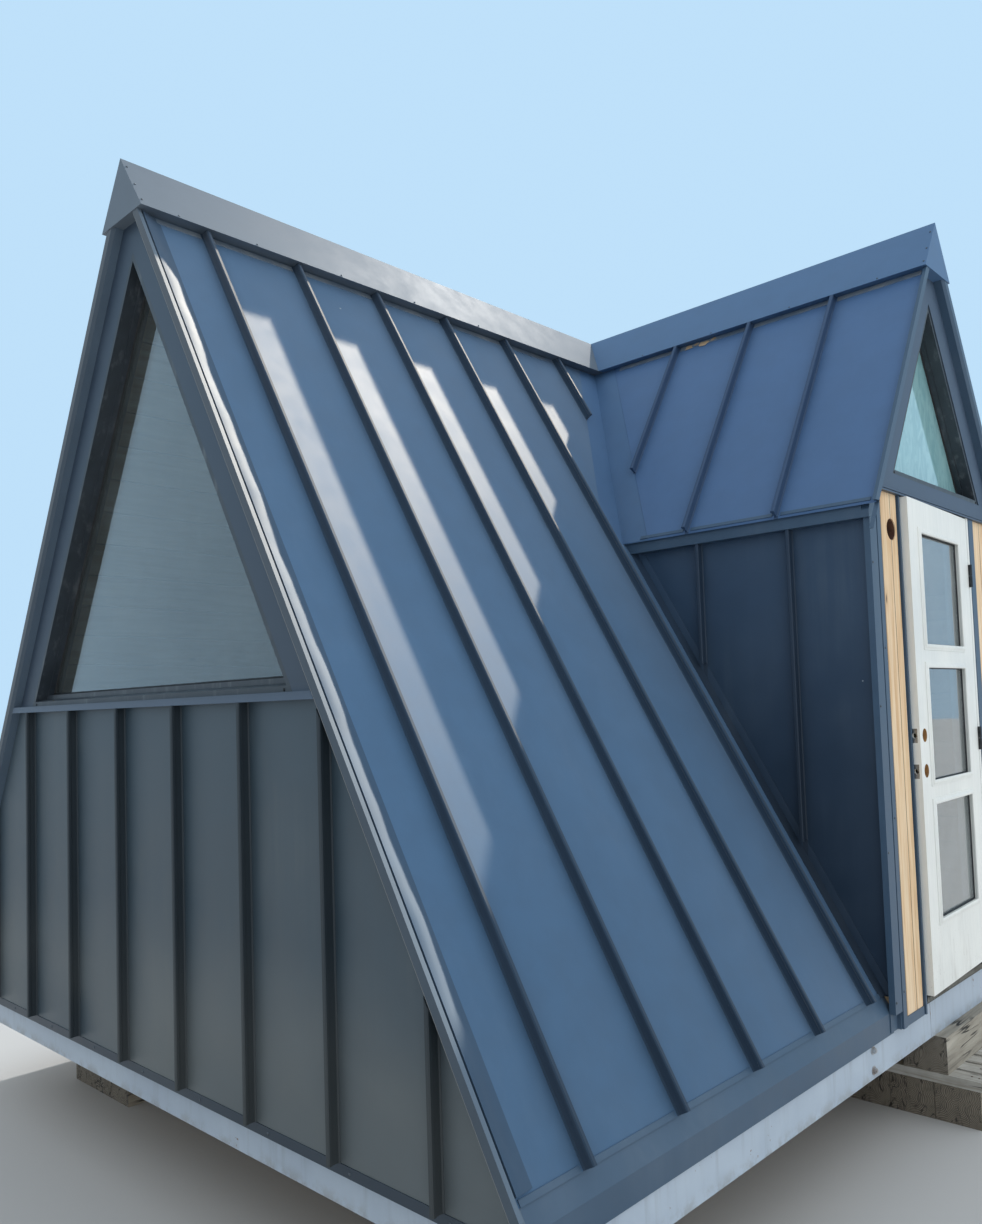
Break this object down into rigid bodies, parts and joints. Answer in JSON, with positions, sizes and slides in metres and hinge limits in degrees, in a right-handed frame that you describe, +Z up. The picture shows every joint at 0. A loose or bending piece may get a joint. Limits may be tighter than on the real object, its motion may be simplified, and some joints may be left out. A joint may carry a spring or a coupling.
{
  "type": "a-frame tiny house",
  "caption": "Small A-frame house with a cross gable over a glazed door, standing-seam metal roof and walls, triangular gable windows, on a steel base set on stacked timbers.",
  "frame": {"origin": "on the ground under the middle of the main ridge", "axes": "+Y along the main ridge, away from the gable seen in the picture; +X across the house, towards the doorway; +Z up"},
  "size_m": [3.976, 5.526, 3.727],
  "materials": {
    "old_timber": "weathered, rough",
    "deck_board": "worn pale paint",
    "base_steel": "pale satin paint",
    "joist": "sawn",
    "floor_board": "board",
    "wall_panel": "insulated board",
    "roof_metal": "dark blue-grey, satin",
    "wall_metal": "charcoal, satin",
    "trim_metal": "dark blue-grey, satin",
    "window_frame": "dark grey, satin",
    "window_glass": "clear",
    "cladding": "oiled pine",
    "door_paint": "cream, satin",
    "threshold": "ribbed, worn",
    "lock_plate": "satin",
    "hinge": "black, satin"
  },
  "bodies": {
    "house": {"crib_sleepers": "old_timber", "crib_boards": "deck_board", "crib_bearers": "old_timber", "base_side_rails": "base_steel", "base_end_rails": "base_steel", "base_joists": "joist", "floor_deck": "floor_board", "roof_slab_left": "wall_panel", "roof_slab_right": "wall_panel", "valley_slab_front": "wall_panel", "valley_slab_rear": "wall_panel", "dormer_slab_front": "wall_panel", "dormer_slab_rear": "wall_panel", "gable_wall_front": "wall_panel", "gable_wall_rear": "wall_panel", "dormer_side_walls": "wall_panel", "door_wall_left": "wall_panel", "door_wall_right": "wall_panel", "door_wall_header": "wall_panel", "roof_pans_left": "roof_metal", "roof_pans_right": "roof_metal", "dormer_roof_pans": "roof_metal", "gable_pans": "wall_metal", "dormer_side_pans": "wall_metal", "main_ridge_cap": "roof_metal", "dormer_ridge_cap": "roof_metal", "eave_trims": "roof_metal", "rake_trims": "trim_metal", "dormer_rake_trims": "trim_metal", "dormer_fascias": "trim_metal", "valley_flashings": "roof_metal", "wall_aprons": "trim_metal", "base_flashings": "trim_metal", "corner_trims": "trim_metal", "window_bands": "trim_metal", "window_frame_front": "window_frame", "window_frame_rear": "window_frame", "window_frame_dormer": "window_frame", "window_glass": "window_glass", "timber_cladding": "cladding", "door_jambs": "door_paint", "door_head": "door_paint", "threshold": "threshold", "hinge_frame_halves": "hinge"},
    "door": {"door_leaf": "door_paint", "door_glass": "window_glass", "door_mouldings": "door_paint", "door_lock_plates": "lock_plate", "hinge_door_halves": "hinge"}
  },
  "joints": [
    {"name": "door_hinge", "type": "hinge", "parent": "house", "child": "door", "pos_m": [1.846, 0.3245, 1.5], "axis": [0, 0, 1], "range_deg": [-2, 100]}
  ]
}
